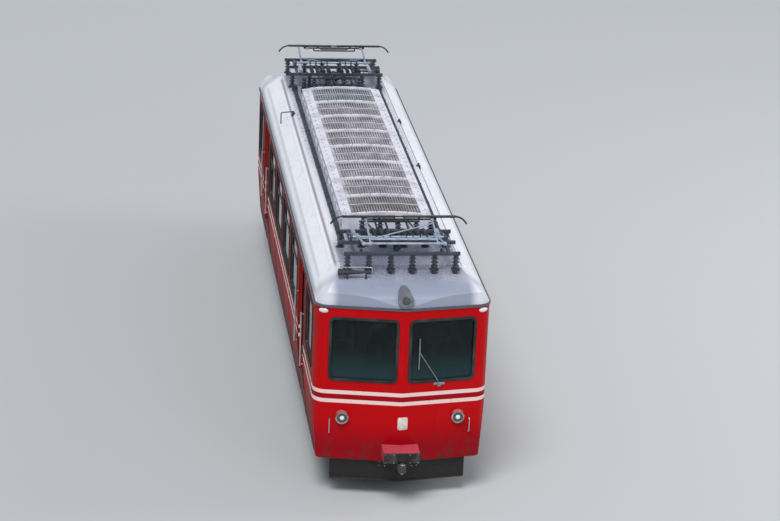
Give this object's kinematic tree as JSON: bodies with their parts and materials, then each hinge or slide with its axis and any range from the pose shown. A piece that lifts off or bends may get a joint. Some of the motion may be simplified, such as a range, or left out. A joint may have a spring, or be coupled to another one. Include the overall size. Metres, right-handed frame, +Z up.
{
  "type": "electric rack railway car with two raised pantographs",
  "caption": "Red electric rack railway car with a prow-shaped cab at each end, a ribbed resistor hood on the roof, pantographs and swivelling bogies.",
  "frame": {"origin": "under the middle of the car, at the lowest point of the wheel flanges", "axes": "+X along the car towards its front end, +Y to its side, +Z up"},
  "size_m": [13.2296, 2.718, 4.0855],
  "materials": {
    "red_paint": "gloss enamel with cream stripes",
    "roof_paint": "weathered pale grey paint",
    "hood_paint": "weathered white paint",
    "panel_grey": "perforated dull brown-grey sheet",
    "window_glass": "dark tinted glass",
    "lens_glass": "clear fluted lens",
    "lamp_metal": "dull grey painted metal",
    "underframe_black": "dusty black paint",
    "interior_cream": "satin cream paint",
    "seat_wood": "varnished moulded wood",
    "desk_grey": "satin grey-green paint",
    "insulator": "dark glazed porcelain",
    "pantograph_metal": "blue-black paint, sooty",
    "pantograph_tube": "grey-blue painted tube",
    "collector": "carbon and steel, worn on top",
    "wheel_steel": "rolled steel, bright on the tread",
    "fitting_grey": "dull grey paint, chipped",
    "handrail_steel": "brushed steel tube",
    "coupler_metal": "red paint worn to grey"
  },
  "bodies": {
    "carbody": {"side_wall_left": "red_paint", "side_wall_right": "red_paint", "cab_side_panels": "red_paint", "doorway_frames": "red_paint", "end_wall_front": "red_paint", "end_wall_rear": "red_paint", "underframe": "underframe_black", "cab_bulkheads": "interior_cream", "roof": "roof_paint", "side_glazing": "window_glass", "end_glazing": "window_glass", "passenger_seats": "seat_wood", "driver_stations": "desk_grey", "resistor_hood": "hood_paint", "hood_panels": "panel_grey", "roof_fittings": "fitting_grey", "roof_insulators": "insulator", "pantograph_bases": "pantograph_metal", "lamp_housings": "lamp_metal", "lamp_lenses": "lens_glass", "couplers": "coupler_metal", "rail_guards": "underframe_black", "handrails": "handrail_steel", "door_steps": "underframe_black", "equipment_boxes": "underframe_black", "air_reservoirs": "underframe_black"},
    "door_front_right": {"door_leaf_front_right": "red_paint", "door_glass_front_right": "window_glass"},
    "door_rear_right": {"door_leaf_rear_right": "red_paint", "door_glass_rear_right": "window_glass"},
    "door_front_left": {"door_leaf_front_left": "red_paint", "door_glass_front_left": "window_glass"},
    "door_rear_left": {"door_leaf_rear_left": "red_paint", "door_glass_rear_left": "window_glass"},
    "pantograph_lower_front": {"pantograph_lower_arm_front": "pantograph_metal"},
    "pantograph_upper_front": {"pantograph_upper_arm_front": "pantograph_tube"},
    "pantograph_head_front": {"pantograph_head_front": "collector"},
    "pantograph_lower_rear": {"pantograph_lower_arm_rear": "pantograph_metal"},
    "pantograph_upper_rear": {"pantograph_upper_arm_rear": "pantograph_tube"},
    "pantograph_head_rear": {"pantograph_head_rear": "collector"},
    "bogie_front": {"bogie_frame_front": "underframe_black", "bogie_axleboxes_front": "underframe_black", "bogie_motors_front": "underframe_black"},
    "wheelset_front_outer": {"wheelset_front_outer": "wheel_steel"},
    "wheelset_front_inner": {"wheelset_front_inner": "wheel_steel"},
    "bogie_rear": {"bogie_frame_rear": "underframe_black", "bogie_axleboxes_rear": "underframe_black", "bogie_motors_rear": "underframe_black"},
    "wheelset_rear_outer": {"wheelset_rear_outer": "wheel_steel"},
    "wheelset_rear_inner": {"wheelset_rear_inner": "wheel_steel"}
  },
  "joints": [
    {"name": "door_front_right_slide", "type": "slide", "parent": "carbody", "child": "door_front_right", "axis": [-1, 0, 0], "range_m": [0, 0.85]},
    {"name": "door_rear_right_slide", "type": "slide", "parent": "carbody", "child": "door_rear_right", "axis": [1, 0, 0], "range_m": [0, 0.85]},
    {"name": "door_front_left_slide", "type": "slide", "parent": "carbody", "child": "door_front_left", "axis": [-1, 0, 0], "range_m": [0, 0.85]},
    {"name": "door_rear_left_slide", "type": "slide", "parent": "carbody", "child": "door_rear_left", "axis": [1, 0, 0], "range_m": [0, 0.85]},
    {"name": "pantograph_front_lower", "type": "hinge", "parent": "carbody", "child": "pantograph_lower_front", "pos_m": [5.01, 0, 3.75], "axis": [0, -1, 0], "range_deg": [-9, 12]},
    {"name": "pantograph_front_upper", "type": "hinge", "parent": "pantograph_lower_front", "child": "pantograph_upper_front", "pos_m": [5.71629, 0, 3.88985], "axis": [0, -1, 0], "range_deg": [-24, 18]},
    {"name": "pantograph_front_head", "type": "hinge", "parent": "pantograph_upper_front", "child": "pantograph_head_front", "pos_m": [5.01, 0, 4.0297], "axis": [0, -1, 0], "range_deg": [-9, 12]},
    {"name": "pantograph_rear_lower", "type": "hinge", "parent": "carbody", "child": "pantograph_lower_rear", "pos_m": [-5.01, 0, 3.75], "axis": [0, 1, 0], "range_deg": [-9, 12]},
    {"name": "pantograph_rear_upper", "type": "hinge", "parent": "pantograph_lower_rear", "child": "pantograph_upper_rear", "pos_m": [-5.71629, 0, 3.88985], "axis": [0, 1, 0], "range_deg": [-24, 18]},
    {"name": "pantograph_rear_head", "type": "hinge", "parent": "pantograph_upper_rear", "child": "pantograph_head_rear", "pos_m": [-5.01, 0, 4.0297], "axis": [0, 1, 0], "range_deg": [-9, 12]},
    {"name": "bogie_front_swivel", "type": "hinge", "parent": "carbody", "child": "bogie_front", "pos_m": [3.6, 0, 0.57], "axis": [0, 0, 1], "range_deg": [-4, 4]},
    {"name": "wheelset_front_outer_spin", "type": "hinge", "parent": "bogie_front", "child": "wheelset_front_outer", "pos_m": [4.6, 0, 0.378], "axis": [0, 1, 0], "continuous": true},
    {"name": "wheelset_front_inner_spin", "type": "hinge", "parent": "bogie_front", "child": "wheelset_front_inner", "pos_m": [2.6, 0, 0.378], "axis": [0, 1, 0], "continuous": true},
    {"name": "bogie_rear_swivel", "type": "hinge", "parent": "carbody", "child": "bogie_rear", "pos_m": [-3.6, 0, 0.57], "axis": [0, 0, 1], "range_deg": [-4, 4]},
    {"name": "wheelset_rear_outer_spin", "type": "hinge", "parent": "bogie_rear", "child": "wheelset_rear_outer", "pos_m": [-4.6, 0, 0.378], "axis": [0, 1, 0], "continuous": true},
    {"name": "wheelset_rear_inner_spin", "type": "hinge", "parent": "bogie_rear", "child": "wheelset_rear_inner", "pos_m": [-2.6, 0, 0.378], "axis": [0, 1, 0], "continuous": true}
  ],
  "couplings": [
    {"joint": "pantograph_front_upper", "follows": "pantograph_front_lower", "ratio": -2},
    {"joint": "pantograph_front_head", "follows": "pantograph_front_lower", "ratio": 1},
    {"joint": "pantograph_rear_upper", "follows": "pantograph_rear_lower", "ratio": -2},
    {"joint": "pantograph_rear_head", "follows": "pantograph_rear_lower", "ratio": 1}
  ]
}
